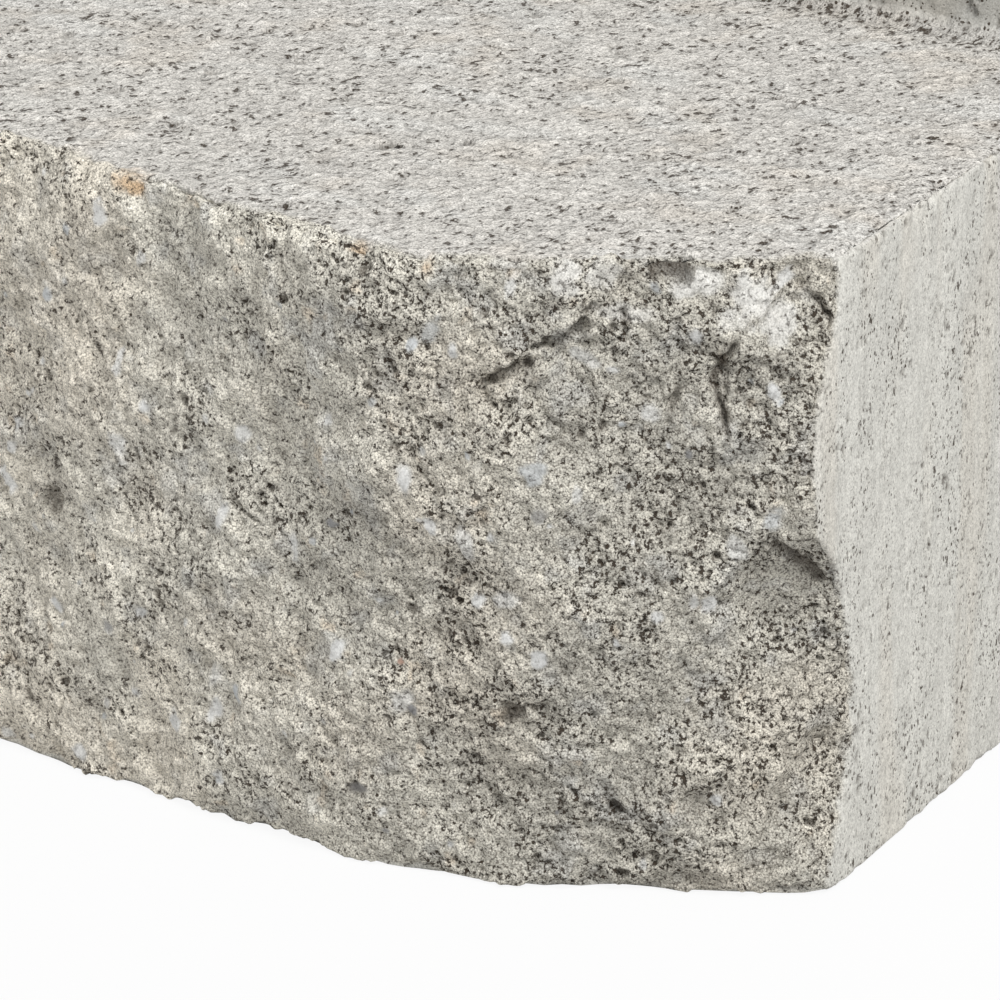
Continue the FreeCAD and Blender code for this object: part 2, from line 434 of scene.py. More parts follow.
# Lines along the front arrises, from left to right, and up the corners
upper_line = np.concatenate([left_inner[:, -1], middle_grid[:, -1], right_new[:, -1]])
lower_line = np.concatenate([left_inner[:, 0], middle_grid[:, 0], right_new[:, 0]])
right_corner = right_grid[-1]
left_corner = left_inner[0]

place = np.concatenate(points)
RIGHT_TOP_FRONT = place[right_corner[-1]]
LEFT_TOP_FRONT = place[left_corner[-1]]
RIGHT_LOW_FRONT = place[right_corner[0]]
LEFT_LOW_FRONT = place[left_corner[0]]

# Profile of the lip above the bed, from its foot to the rear arris of its top
LIP_FOOT = LIP_FRONT - LIP_FILLET
lip_profile = [(LIP_FOOT + share * LIP_FILLET, HEIGHT) for share in (0, 0.2, 0.4, 0.6, 0.8)]
_, first_step, second_step, third_step = ARRIS_STEPS
wall_levels = np.linspace(second_step, LIP_HEIGHT - third_step, 22)
for level in (*wall_levels, LIP_HEIGHT - second_step, LIP_HEIGHT - first_step):
    lip_profile.append((LIP_FRONT + level * math.tan(DRAFT), HEIGHT + level))
lip_top_start = LIP_FRONT + LIP_HEIGHT * math.tan(DRAFT)
for y in lip_top_start + spaced(REAR - lip_top_start, LIP_TOP_STEP):
    lip_profile.append((y, TOP))
lip_profile = np.array(lip_profile)


def end_line(front_point, side, step):
    """The line along one end of the bed and over the lip, from the front corner."""
    run = LIP_FOOT - front_point[1]
    y = front_point[1] + spaced(run, step, end_arris=False)[1:-1]
    bed = np.stack([side * side_at(y), y, np.full(len(y), HEIGHT)], -1)
    lip = np.stack([side * side_at(lip_profile[:, 0]), lip_profile[:, 0], lip_profile[:, 1]], -1)
    return np.concatenate([bed, lip])


right_over = np.concatenate([right_corner[-1:], add_points(end_line(RIGHT_TOP_FRONT, 1, MEDIUM))])
left_over = np.concatenate([left_corner[-1:], add_points(end_line(LEFT_TOP_FRONT, -1, LEFT_STEP))])

rear_x = side_at(REAR)
rear_across = spaced(2 * rear_x, REAR_STEP)[1:-1] - rear_x
rear_top = add_points([(x, REAR, TOP) for x in rear_across])
rear_top = np.concatenate([left_over[-1:], rear_top, right_over[-1:]])
rear_levels = spaced(TOP, REAR_LEVEL_STEP)[1:-1]
right_rear = add_points([(rear_x, REAR, z) for z in rear_levels])
left_rear = add_points([(-rear_x, REAR, z) for z in rear_levels])
low_corners = add_points([(-rear_x, REAR, 0), (rear_x, REAR, 0)])
right_rear = np.concatenate([low_corners[1:], right_rear, right_over[-1:]])
left_rear = np.concatenate([low_corners[:1], left_rear, left_over[-1:]])
rear_low = add_points([(x, REAR, 0) for x in rear_across])
rear_low = np.concatenate([low_corners[:1], rear_low, low_corners[1:]])


def low_line(front_point, side, step):
    """The line along one end of the underside, between the front and rear corners."""
    run = REAR - front_point[1]
    y = front_point[1] + spaced(run, step)[1:-1]
    return np.stack([side * side_at(y), y, np.zeros(len(y))], -1)


right_low = add_points(low_line(RIGHT_LOW_FRONT, 1, MEDIUM))
left_low = add_points(low_line(LEFT_LOW_FRONT, -1, LEFT_LOW_STEP))
right_low = np.concatenate([right_corner[:1], right_low, low_corners[1:]])
left_low = np.concatenate([left_corner[:1], left_low, low_corners[:1]])


def across_shares(step_left, step_right, change):
    """Shares of the half width from left to right, closer together right of the change."""
    left = spaced((1 + change) * HALF_WIDTH, step_left, end_arris=False)[1:]
    right = spaced((1 - change) * HALF_WIDTH, step_right, start_arris=False)[1:-1]
    return np.concatenate([left / HALF_WIDTH - 1, right / HALF_WIDTH + change])


# Bed, front wall of the lip and its top
bed_t = across_shares(2 * MEDIUM, MEDIUM, BED_SEAM)
bed_front = face_point(runs_at(bed_t, HEIGHT), HEIGHT)
bed_rows = []
longest = LIP_FOOT - FRONT
close_part = BED_CLOSE_PART * longest
near = np.linspace(third_step, close_part, int(close_part / MEDIUM))
near = np.concatenate([[first_step, second_step], near])
far = np.linspace(close_part, longest, int((longest - close_part) / (MEDIUM * 1.35)))[1:]
for back in np.concatenate([near, far[:-1]]):
    y = bed_front[:, 1] + back / longest * (LIP_FOOT - bed_front[:, 1])
    bed_rows.append(np.stack([bed_t * side_at(y), y, np.full(len(y), HEIGHT)], -1))
for y, z in lip_profile[:-1]:
    lip_x = bed_t * side_at(y)
    bed_rows.append(np.stack([lip_x, np.full(len(lip_x), y), np.full(len(lip_x), z)], -1))
bed_grid = add_points(np.array(bed_rows))

# Underside
base_t = across_shares(BASE_STEP, BASE_STEP, 0.0)
base_front = face_point(runs_at(base_t, 0.0), 0.0)
base_rows = []
for back in spaced(BLOCK_DEPTH, BASE_STEP)[1:-1]:
    y = base_front[:, 1] + back / BLOCK_DEPTH * (REAR - base_front[:, 1])
    base_rows.append(np.stack([base_t * side_at(y), y, np.zeros(len(y))], -1))
base_grid = add_points(np.array(base_rows))


def side_grid(side, corner_line, z_step, y_step):
    """The net of a cast side, by shares of each height from the corner to the rear."""
    corner_place = np.concatenate(points)[corner_line]
    z_share = spaced(HEIGHT, z_step)[1:-1] / HEIGHT
    corner_y = np.interp(z_share * HEIGHT, corner_place[:, 2], corner_place[:, 1])
    bed_part = spaced(LIP_FOOT - CORNER_Y, y_step, end_arris=False)[1:] / (LIP_FOOT - CORNER_Y)
    rows = []
    for share in bed_part:
        y = corner_y + share * (LIP_FOOT - corner_y)
        rows.append(np.stack([side * side_at(y), y, z_share * HEIGHT], -1))
    for y, top in lip_profile[1:-1]:
        full = np.full(len(z_share), y)
        rows.append(np.stack([side * side_at(full), full, z_share * top], -1))
    return add_points(np.array(rows))


right_side = side_grid(1, right_corner, MEDIUM * 0.9, MEDIUM)
left_side = side_grid(-1, left_corner, MEDIUM * 1.7, MEDIUM * 1.8)

# Back
back_grid = add_points([[(x, REAR, z) for z in rear_levels] for x in rear_across])

base_place = settle(np.concatenate(points))

# Triangles by patch, all turned outwards further down
patches = {
    "face_left": [quads(left_inner)],
    "face_middle": [quads(middle_grid)],
    "face_right": [quads(right_grid)],
    "bed": [quads(bed_grid)],
    "cast_sides": [quads(right_side), quads(left_side), quads(back_grid), quads(base_grid)],
}
sharp_place = np.concatenate(points)


def close_patch(name, grid, low, high, start, end):
    """Join a grid's four borders to the lines around it. Low and high run along the first
    index of the grid at the start and end of the second one; start and end run along the
    second index."""
    patches[name].append(zipped(low, grid[:, 0], sharp_place))
    patches[name].append(zipped(high, grid[:, -1], sharp_place))
    patches[name].append(zipped(start, grid[0], sharp_place))
    patches[name].append(zipped(end, grid[-1], sharp_place))
    met = ((low[0], start[0]), (low[-1], end[0]), (high[0], start[-1]), (high[-1], end[-1]))
    for first, second in met:
        assert first == second, name


patches["face_left"].append(zipped(middle_grid[0], left_inner[-1], sharp_place))
close_patch("bed", bed_grid.T, upper_line, rear_top, left_over, right_over)
close_patch("cast_sides", base_grid.T, lower_line, rear_low, left_low, right_low)
close_patch("cast_sides", right_side, right_low, right_over, right_corner, right_rear)
close_patch("cast_sides", left_side, left_low, left_over, left_corner, left_rear)
close_patch("cast_sides", back_grid, rear_low, rear_top, left_rear, right_rear)

# Kinds of surface: the break and the chipped band along it, the struck bed, the cast sides
base_normal = gradient(base_place)
base_normal /= np.linalg.norm(base_normal, axis=1)[:, None]
P = base_place
face_run, _ = plan_place(P[:, 0], P[:, 1])
behind = -break_distance(P)
ragged = 0.8 * rough(P, 3.5, 11, 3) + 0.4 * rough(P, 1.3, 12, 2)
on_bed = smooth(base_normal[:, 2], 0.3, 0.7)
ragged += on_bed * (2.4 * rough(P, 9.0, 10, 2) - 0.6)
split = 1 - smooth(behind + ragged, 0.3, 1.2 + 1.2 * on_bed)
upward = smooth(base_normal[:, 2], 0.4, 0.8) * (1 - split)
# The bed's rough skin reaches unevenly over the arris of the cast sides
below_bed = HEIGHT - P[:, 2]
overrun = smooth(1.9 * rough(P, 3.4, 13, 3) - 0.55 * below_bed, -0.25, 0.3)
overrun *= smooth(below_bed, -0.6, -0.1) * smooth(LIP_FRONT - 3.0 - P[:, 1], 0.0, 3.0)
upward = np.maximum(upward, overrun * (1 - split))
cast = 1 - split - upward


# In calls of noise the last numbers are its seed and its count of octaves
def bent_line(ends, waver, seed):
    """Distance below a line across the face and a window that fades at its ends."""
    u0, v0, u1, v1 = ends
    u, v = face_run, P[:, 2]
    length = math.hypot(u1 - u0, v1 - v0)
    du, dv = (u1 - u0) / length, (v1 - v0) / length
    along = (u - u0) * du + (v - v0) * dv
    below = (u - u0) * dv - (v - v0) * du
    near = np.abs(below) < 20
    below[near] += waver * rough(P[near], 4.5, seed, 4, 0.62)
    along[near] += 1.5 * rough(P[near], 2.5, seed + 50, 2)
    window = smooth(along, -2.0, 1.5) * (1 - smooth(along, length - 1.5, length + 2.0))
    window[near] *= smooth(rough(P[near], 3.0, seed + 90, 2), -0.75, 0.1)
    return below, window


# Places drawn aside a little, so that no hollow is round
aside = np.stack([ripple(P, 1.3, n) for n in (15, 16, 17)], -1)
aside_wide = np.stack([ripple(P, 3.1, n) for n in (18, 19, 20)], -1)
Q = P + 0.42 * aside + 0.6 * aside_wide

# Relief of the break, inwards from the surface of the part
lumps = 0.45 * rough(P, 17.0, 21, 2) + 0.95 * rough(P, 7.5, 23, 2) + 0.9 * rough(Q, 3.4, 25, 2)
grains = 0.42 * ripple(P, 1.45, 27) + 0.30 * ripple(P, 0.78, 28)
right_end = smooth(face_run, 60, 130)
crowds = smooth(rough(P, 7.0, 31, 3) + 0.22 * right_end, -0.05, 0.4)
small_pores = pores(Q, 1.1, 33, 0.62, 0.2, 0.58)
large_pores = pores(Q, 2.7, 35, 0.5, 0.42, 1.1)
split_pores = np.maximum(0.65 * small_pores * (0.25 + 0.75 * crowds), 1.15 * large_pores * crowds)
# Run and height of both ends, drop, fade and seed
LEDGES = (
    (108.0, 82.8, 123.2, 92.6, 3.0, 6.0, 41), (137.6, 89.8, 146.6, 85.4, 1.0, 3.5, 45),
    (145.2, 89.0, 144.0, 75.5, 1.1, 3.5, 46), (-62.0, 71.0, -40.0, 80.0, 2.0, 7.0, 47),
    (-118.0, 34.0, -97.0, 42.5, 1.8, 6.0, 48), (-20.0, 22.0, -5.0, 17.0, 1.2, 5.0, 49),
)
# Run and height of both ends, depth, half width and seed
CLEFTS = (
    (145.2, 89.6, 142.2, 83.0, 1.2, 0.5, 51), (142.4, 82.6, 144.4, 74.8, 1.5, 0.55, 58),
    (155.2, 97.0, 159.6, 91.0, 1.2, 0.5, 52), (150.9, 58.0, 157.4, 50.6, 1.9, 0.95, 59),
    (129.7, 94.7, 129.2, 89.9, 0.9, 0.5, 53), (-141.0, 66.0, -137.0, 52.0, 1.4, 0.9, 54),
    (63.3, 54.2, 67.3, 51.6, 0.9, 0.3, 55), (122.2, 93.9, 126.7, 95.8, 1.0, 0.6, 56),
    (137.1, 83.3, 135.1, 77.1, 0.9, 0.7, 57),
)
# Run, height, radius and depth
PITS = (
    (53.2, 68.8, 1.3, 1.2), (128.0, 15.0, 1.5, 1.5), (112.3, 29.9, 2.6, 1.0),
    (22.6, 44.9, 3.2, 0.9), (85.9, 13.1, 2.2, 0.6), (96.3, 44.3, 1.3, 1.0), (-75.0, 55.0, 1.6, 1.2),
    (-30.0, 63.0, 1.4, 1.0),
)
features = np.zeros(count)
# How strongly the clefts, the pits and the foot of each ledge get painted shade
cleft_shade_depth = np.zeros(count)
for *ends, drop, fade, seed in LEDGES:
    # the part below the line lies deeper, and comes back again
    below, window = bent_line(ends, 1.7, seed)
    step = drop * smooth(below, -0.2, 0.3) * window
    below = np.maximum(below, 0)
    features += step * np.exp(-below / fade)
    # a narrow band of painted shadow below the ledge
    cleft_shade_depth += 0.55 * step * np.exp(-below / 0.9)
for *ends, deepest, width, seed in CLEFTS:
    below, window = bent_line(ends, 1.5, seed)
    dip = deepest * np.exp(-((below / width) ** 2)) * window
    cleft_shade_depth += dip
    features += dip
for u, v, radius, deepest in PITS:
    away = np.hypot(face_run - u, P[:, 2] - v)
    near = away < 3 * radius
    away[near] += 0.7 * radius * rough(P[near], 1.3, 61, 3)
    dip = deepest * (1 - smooth(away, 0.35 * radius, radius))
    cleft_shade_depth += dip
    features += dip

# Crumbled arris between the break and the cast faces
from_arris = np.maximum(behind, -cast_distance(P))
from_side = (side_at(P[:, 1]) - np.abs(P[:, 0])) * math.cos(TAPER)
from_end_arris = np.maximum(from_side, np.abs(below_bed))


def crumbled(away, noise, most, reach):
    """Bites out of an arris where the noise is above 0, fading away from it."""
    return most * np.maximum(noise, 0) * np.exp(-np.maximum(away, 0) / reach)


crumbs = crumbled(from_arris, rough(P, 3.0, 93, 3) + 0.1, 2.3, 1.8)
crumbs *= smooth(P[:, 2], 4.0, 90.0) * 0.6 + 0.4
crumbs += crumbled(from_end_arris, rough(P, 2.8, 94, 3) + 0.08, 4.2, 1.4)
crumbs += crumbled(from_end_arris, rough(P, 6.5, 97, 3) + 0.06, 3.6, 1.9)

# Chips of stone in the break: run, height, half sizes, lean and colour
MILKY = (0.66, 0.66, 0.645)
BLUISH = (0.50, 0.52, 0.53)
SLATE = (0.27, 0.27, 0.275)
RUST = (0.30, 0.15, 0.10)
CHIPS = [
    (60.3, 51.3, 1.2, 2.2, -0.15, MILKY), (100.7, 59.6, 0.9, 1.3, 0.3, MILKY),
    (48.2, 14.4, 1.5, 1.9, 0.2, MILKY), (57.9, 24.8, 1.6, 2.0, -0.4, MILKY),
    (57.8, 19.3, 1.0, 1.6, 0.0, MILKY), (39.3, 58.5, 1.5, 2.7, 0.1, MILKY),
    (74.2, 49.0, 0.7, 2.2, 0.1, MILKY), (14.9, 55.5, 1.3, 1.2, 0.0, MILKY),
    (12.9, 45.7, 1.6, 2.6, 0.6, MILKY), (39.1, 72.1, 0.8, 2.0, 0.0, MILKY),
    (96.8, 66.2, 1.2, 2.2, 0.1, MILKY), (94.4, 28.9, 2.5, 2.0, 0.4, MILKY),
    (64.5, 65.9, 1.5, 1.3, 0.0, MILKY), (113.2, 98.1, 0.9, 2.0, -0.3, MILKY),
    (101.7, 90.1, 1.3, 2.3, -0.5, BLUISH), (104.7, 87.2, 0.8, 1.2, 0.0, MILKY),
    (133.1, 78.1, 1.2, 1.5, 0.2, MILKY), (139.9, 90.1, 1.2, 1.3, 0.0, MILKY),
    (116.3, 69.0, 1.9, 1.6, 0.2, BLUISH), (122.5, 66.1, 0.9, 1.4, 0.0, MILKY),
    (111.7, 48.7, 2.2, 1.2, 0.2, MILKY), (142.2, 48.0, 1.3, 1.4, 0.0, MILKY),
    (151.2, 62.6, 1.8, 1.5, 0.4, BLUISH), (123.9, 86.3, 2.4, 0.9, -0.5, MILKY),
    (127.5, 85.0, 1.2, 0.6, -0.3, MILKY), (85.9, 13.1, 1.5, 1.1, 0.7, SLATE),
    (93.9, 35.2, 0.45, 0.5, 0.0, RUST), (154.2, 42.1, 0.5, 0.5, 0.0, MILKY),
    (28.3, 3.7, 1.2, 1.6, 0.2, MILKY),
]
# and many small ones at random, smaller where those of the photograph are listed
SCATTERED_CHIPS = 190
PLACED_FROM = 8
random = np.random.default_rng(907)
for _ in range(SCATTERED_CHIPS):
    u = random.uniform(-158, 158)
    radius = 0.5 + 1.6 * random.random() ** 2
    colour = (MILKY, MILKY, BLUISH, MILKY, BLUISH, SLATE)[random.integers(6)]
    if u > PLACED_FROM:
        radius *= 0.7
    v = random.uniform(2, 99)
    tall = radius * random.uniform(0.7, 1.8)
    CHIPS.append((u, v, radius, tall, random.uniform(-0.6, 0.6), colour))


def ellipse(u, v, half_u, half_v, lean, waver, seed):
    """Share of the way from the middle of a leaning oval, 1 at its rim."""
    du, dv = face_run - u, P[:, 2] - v
    a = (du * math.cos(lean) + dv * math.sin(lean)) / half_u
    b = (dv * math.cos(lean) - du * math.sin(lean)) / half_v
    away = np.hypot(a, b)
    near = away < 2.5
    away[near] += waver * rough(P[near], 1.9, seed, 3)
    return away


chip_mask = np.zeros(count)
chip_colour = np.ones((count, 3))
for i, (u, v, half_u, half_v, lean, colour) in enumerate(CHIPS):
    share = 1 - smooth(ellipse(u, v, half_u, half_v, lean, 0.75, 300 + i), 0.6, 1.25)
    share *= split * random.uniform(0.6, 1.0)
    chip_mask = np.maximum(chip_mask, share)
    own_colour = np.array(colour) * random.uniform(0.92, 1.06)
    chip_colour += smooth(share, 0.0, 0.3)[:, None] * (own_colour - chip_colour)

# Rusty stains: run, height, half sizes and strength
STAINS = (
    (40.4, 99.9, 2.6, 2.0, 0.75), (89.2, 101.0, 1.8, 1.5, 0.5), (100.7, 99.9, 1.2, 1.8, 0.45),
    (-64.0, 30.0, 2.4, 1.8, 0.5), (-101.0, 82.0, 1.6, 2.0, 0.5),
)
stained = np.zeros(count)
for i, (u, v, half_u, half_v, strength) in enumerate(STAINS):
    share = 1 - smooth(ellipse(u, v, half_u, half_v, 0.0, 0.9, 700 + i), 0.2, 1.3)
    stained = np.maximum(stained, strength * share * (1 - smooth(behind, 1.5, 4.0)))

# Rubbed, paler places along the upper arris: run, height, half sizes, lean and strength
RUBBED = (
    (121.2, 99.3, 2.6, 2.8, 0.4, 0.9), (126.7, 99.5, 3.0, 2.2, 0.0, 0.7),
    (138.6, 97.4, 3.8, 1.3, 0.2, 0.9), (141.6, 98.7, 3.5, 2.4, 0.0, 0.9),
    (148.2, 95.8, 3.2, 4.6, 0.35, 1.0), (152.1, 92.0, 2.4, 3.2, 0.5, 0.9),
    (129.7, 93.8, 5.5, 1.3, -0.1, 0.6), (145.1, 93.2, 2.5, 2.0, 0.4, 0.6),
    (112.7, 101.3, 3.0, 1.2, 0.0, 0.5), (-70.0, 99.5, 6.0, 1.6, 0.0, 0.7),
    (-120.0, 98.5, 7.0, 2.2, 0.1, 0.8), (-18.0, 100.0, 5.0, 1.4, 0.0, 0.6),
)
smeared = np.stack(
    [face_run + 0.6 * P[:, 2], 0.15 * (P[:, 2] - 0.6 * face_run), np.zeros(count)], -1
)
rubbed = np.zeros(count)
for i, (u, v, half_u, half_v, lean, strength) in enumerate(RUBBED):
    share = 1 - smooth(ellipse(u, v, half_u, half_v, lean, 0.55, 500 + i), 0.55, 1.15)
    rubbed = np.maximum(rubbed, strength * share * split)
# Where the surface has less grain: chips, rubbed places and, a little, the left of the face
even = 0.25 * (1 - smooth(face_run, 20, 100)) * split
even = np.maximum(np.maximum(chip_mask, 0.75 * rubbed), even)

fine_relief = grains + split_pores
break_relief = 0.25 + lumps + features + fine_relief * (1 - 0.6 * even) - 0.15 * chip_mask

# Relief of the struck bed: a compact skin with scattered pores
# Place on the bed, radius and depth
BED_PITS = (
    (61.4, -45.1, 1.9, 1.6), (15.3, 3.1, 1.4, 1.2), (21.8, -19.4, 1.2, 1.1),
    (14.0, -32.4, 1.2, 1.1), (70.7, -36.0, 1.3, 1.2), (101.7, -52.8, 1.2, 1.2),
    (116.9, -53.0, 1.2, 1.1), (101.9, -18.6, 1.1, 1.0),
)
bed_grain = 0.22 * rough(P, 5.0, 71, 2) + 0.42 * rough(Q, 2.1, 73, 2)
bed_crowded = 0.25 + 0.75 * smooth(rough(P, 8.0, 76, 2), -0.2, 0.4)
bed_pores = np.maximum(
    0.6 * pores(Q, 1.35, 75, 0.6, 0.28, 0.7) * bed_crowded,
    1.3 * pores(Q, 4.2, 77, 0.6, 0.5, 1.25, (1.0, 1.6, 1.0)),
)
for x, y, radius, depth in BED_PITS:
    away = np.hypot(Q[:, 0] - x, Q[:, 1] - y)
    bed_pores = np.maximum(bed_pores, depth * (1 - smooth(away, 0.3 * radius, radius)))
bed_relief = 0.32 + bed_grain + bed_pores

# Relief of the cast sides: nearly flat, with pores drawn out in the direction of the mould
DRAWN_IN_MOULD = (1.0, 1.0, 1.7)
side_crowds = smooth(rough(P, 8.0, 81, 2), 0.05, 0.45)
# Crowds of pores on the right side: place, height and radius
SIDE_CROWDS = (
    (-36.9, 87.6, 4.0), (-8.3, 80.5, 4.5), (6.2, 75.4, 4.5), (-34.3, 59.5, 3.0),
    (-24.4, 100.4, 2.0), (-8.5, 99.8, 2.0), (4.0, 100.5, 2.5), (0.9, 21.3, 1.5), (-2.2, 8.1, 1.5),
)
for y, z, radius in SIDE_CROWDS:
    away = np.hypot(P[:, 1] - y, P[:, 2] - z) / radius
    side_crowds = np.maximum(side_crowds, np.where(P[:, 0] > 0, 1 - smooth(away, 0.3, 1.1), 0))
side_pores = 0.6 * pores(P, 1.35, 83, 0.6, 0.25, 0.66, DRAWN_IN_MOULD) * (0.2 + 0.8 * side_crowds)
side_relief = 0.06 + 0.04 * ripple(P, 9.0, 85) + side_pores

# How crowded the fine pores are
bed_crowds = 0.12 + 0.88 * smooth(rough(P, 4.5, 131, 3), -0.30, 0.35)
below_lip_top = 1 - smooth(P[:, 2], HEIGHT + 4.0, HEIGHT + 12.0)
bed_crowds += 0.8 * below_lip_top * smooth(P[:, 1], LIP_FRONT - 9.0, LIP_FRONT - 3.0)
side_bands = rough(P * np.array([1.0, 1.0, 0.25]), 4.0, 132, 3)
side_dots = np.maximum(0.15 + 0.85 * smooth(side_bands, -0.35, 0.35), side_crowds)

# The lip's wall is rougher than the cast sides
lip_wall = cast * smooth(-base_normal[:, 1], 0.2, 0.7) * smooth(P[:, 2], HEIGHT - 1, HEIGHT + 0.5)
lip_pores = pores(Q, 1.8, 121, 0.85, 0.35, 0.95, (1.0, 1.0, 2.2))
side_relief += lip_wall * lip_pores
crowd = split * (0.22 + 0.78 * crowds) + upward * bed_crowds
crowd += cast * np.maximum(side_dots, 1.3 * lip_wall)

# Arrises crumble a little where cast faces meet
edge_share = np.sqrt(np.clip(1 - np.max(np.abs(base_normal), axis=1), 0, 0.3) / 0.3)
cast_wear = edge_share * (1 - split) * np.maximum(0.3 + 1.5 * rough(P, 3.6, 91, 3), 0)

depth = split * break_relief + upward * bed_relief + cast * side_relief + cast_wear + crumbs
final = P - base_normal * depth[:, None]
INSIDE_BOX = 0.02
final = np.clip(final, np.array(cad_low) / MM + INSIDE_BOX, np.array(cad_high) / MM - INSIDE_BOX)

# Colours that vary over the surface
GREY = np.array([0.585, 0.560, 0.492])
WARM = np.array([0.632, 0.588, 0.505])
COOL = np.array([0.505, 0.500, 0.475])
STAIN = np.array([0.66, 0.55, 0.42])
RUSTY = np.array([0.56, 0.37, 0.20])
PALE = np.array([0.685, 0.672, 0.635])
BED = np.array([0.665, 0.643, 0.600])
SIDE = np.array([0.652, 0.640, 0.592])
# Colour of the painted shade in pores, clefts, crevices and the socket
HOLE_SHADE_COLOUR = np.array([0.055, 0.042, 0.030])


def mixed(first, second, share):
    return first + (second - first) * share[:, None]


warmth = smooth(rough(P, 26.0, 101, 3) + 0.6 * (1 - smooth(face_run, 25, 95)), -0.1, 0.8)
split_paint = mixed(GREY, WARM, warmth)
cool_spots = 0.6 * smooth(rough(Q, 4.5, 103, 3), 0.12, 0.6)
split_paint = mixed(split_paint, COOL, cool_spots * (1 - 0.5 * warmth))
split_paint = mixed(split_paint, STAIN, 0.5 * smooth(rough(Q, 3.2, 104, 3), 0.42, 0.8))
mottled = 1 + 0.19 * rough(P, 6.0, 105, 3) + 0.13 * rough(Q, 2.1, 106, 2)
# Random mottling, and painted shade where the lumps lie deeper
split_paint *= (mottled - 0.14 * lumps)[:, None]
split_paint *= (1.085 - 0.02 * smooth(face_run, 20, 80) - 0.17 * right_end)[:, None]
split_paint *= (1 + 0.10 * smooth(P[:, 2], 89.0, 99.0))[:, None]
bed_paint = mixed(BED, STAIN, 0.16 * smooth(rough(P, 11.0, 108, 3), 0.0, 0.5))
bloom = rough(P / np.array([2.0, 1.0, 1.0]), 9.0, 109, 3)
bed_paint = mixed(bed_paint, PALE, 0.9 * smooth(bloom, 0.1, 0.5))
# Random tone, and painted shade where the bed's grain lies deeper
bed_paint *= (1 + 0.08 * rough(P, 4.0, 110, 3) - 0.40 * bed_grain)[:, None]
along_mould = P * np.array([1.0, 1.0, 0.12])
side_paint = mixed(SIDE, STAIN, 0.14 * smooth(rough(along_mould, 7.0, 111, 2), 0.0, 0.5))
side_paint *= (1 + 0.09 * rough(along_mould, 2.6, 112, 3) + 0.03 * rough(P, 9.0, 114, 2))[:, None]
# Painted shade on the bed at the foot of the lip
lip_foot_shade = smooth(P[:, 1], LIP_FOOT - 5.0, LIP_FRONT) * (1 - split) * below_lip_top
# The lip's front wall is painted darker as painted shade, and darker still in its pores
side_paint *= (1 - lip_wall * (0.30 + 0.40 * lip_pores))[:, None]
bed_paint *= (1 - 0.26 * lip_foot_shade)[:, None]
bed_paint *= (1.03 - 0.03 * smooth(P[:, 0], -20.0, 110.0))[:, None]
paint = split[:, None] * split_paint + upward[:, None] * bed_paint + cast[:, None] * side_paint
# Painted shade in the pores of the break, the bed and the cast sides
painted_hollow_shade = 0.62 * split * np.clip(split_pores / 0.5, 0, 1) * (1 - 0.6 * even)
painted_hollow_shade += 0.5 * upward * np.clip(bed_pores / 0.55, 0, 1)
painted_hollow_shade += 0.85 * cast * np.clip(side_pores / 0.35, 0, 1)
paint = mixed(paint, HOLE_SHADE_COLOUR, painted_hollow_shade)
paint = mixed(paint, PALE * (1 + 0.22 * rough(smeared, 1.2, 107, 2))[:, None], rubbed)
paint = mixed(paint, chip_colour * (1 + 0.12 * rough(Q, 1.3, 113, 2))[:, None], chip_mask)
# Painted shade in the clefts, the pits and under the ledges
CLEFT_SHADE_SHARE = 0.7
paint = mixed(paint, HOLE_SHADE_COLOUR, CLEFT_SHADE_SHARE * np.clip(cleft_shade_depth / 1.1, 0, 1) * split)
paint = mixed(paint, RUSTY, stained)
# Painted shade inside the socket of a lost pebble, darker on its left and towards the top
socket_centre, socket_radius = hollow_balls[0]
socket_shade = 1 - smooth(np.abs(np.linalg.norm(P - socket_centre, axis=1) - socket_radius), 0.1, 0.5)
socket_shade *= 0.5 + 0.5 * smooth(socket_centre[0] - P[:, 0], -1.6, 1.2)
socket_shade *= 0.6 + 0.4 * smooth(P[:, 2], HEIGHT - 3.3, HEIGHT - 1.4)
socket_shade *= 1 - smooth(base_normal[:, 2], 0.5, 0.8)
paint = mixed(paint, HOLE_SHADE_COLOUR, 0.75 * socket_shade)

all_triangles = {}
for name, parts in patches.items():
    tri = np.concatenate([np.asarray(t) for t in parts])
    a, b, c = base_place[tri[:, 0]], base_place[tri[:, 1]], base_place[tri[:, 2]]
    outward = base_normal[tri].sum(1)
    flip = (np.cross(b - a, c - a) * outward).sum(1) < 0
    tri[flip] = tri[flip][:, [0, 2, 1]]
    all_triangles[name] = tri

every = np.concatenate(list(all_triangles.values()))
a, b, c = final[every[:, 0]], final[every[:, 1]], final[every[:, 2]]
area_normal = np.cross(b - a, c - a)
vertex_normal = np.stack(
    [
        sum(np.bincount(every[:, k], area_normal[:, axis], count) for k in range(3))
        for axis in range(3)
    ],
    -1,
)
vertex_normal /= np.maximum(np.linalg.norm(vertex_normal, axis=1), 1e-9)[:, None]


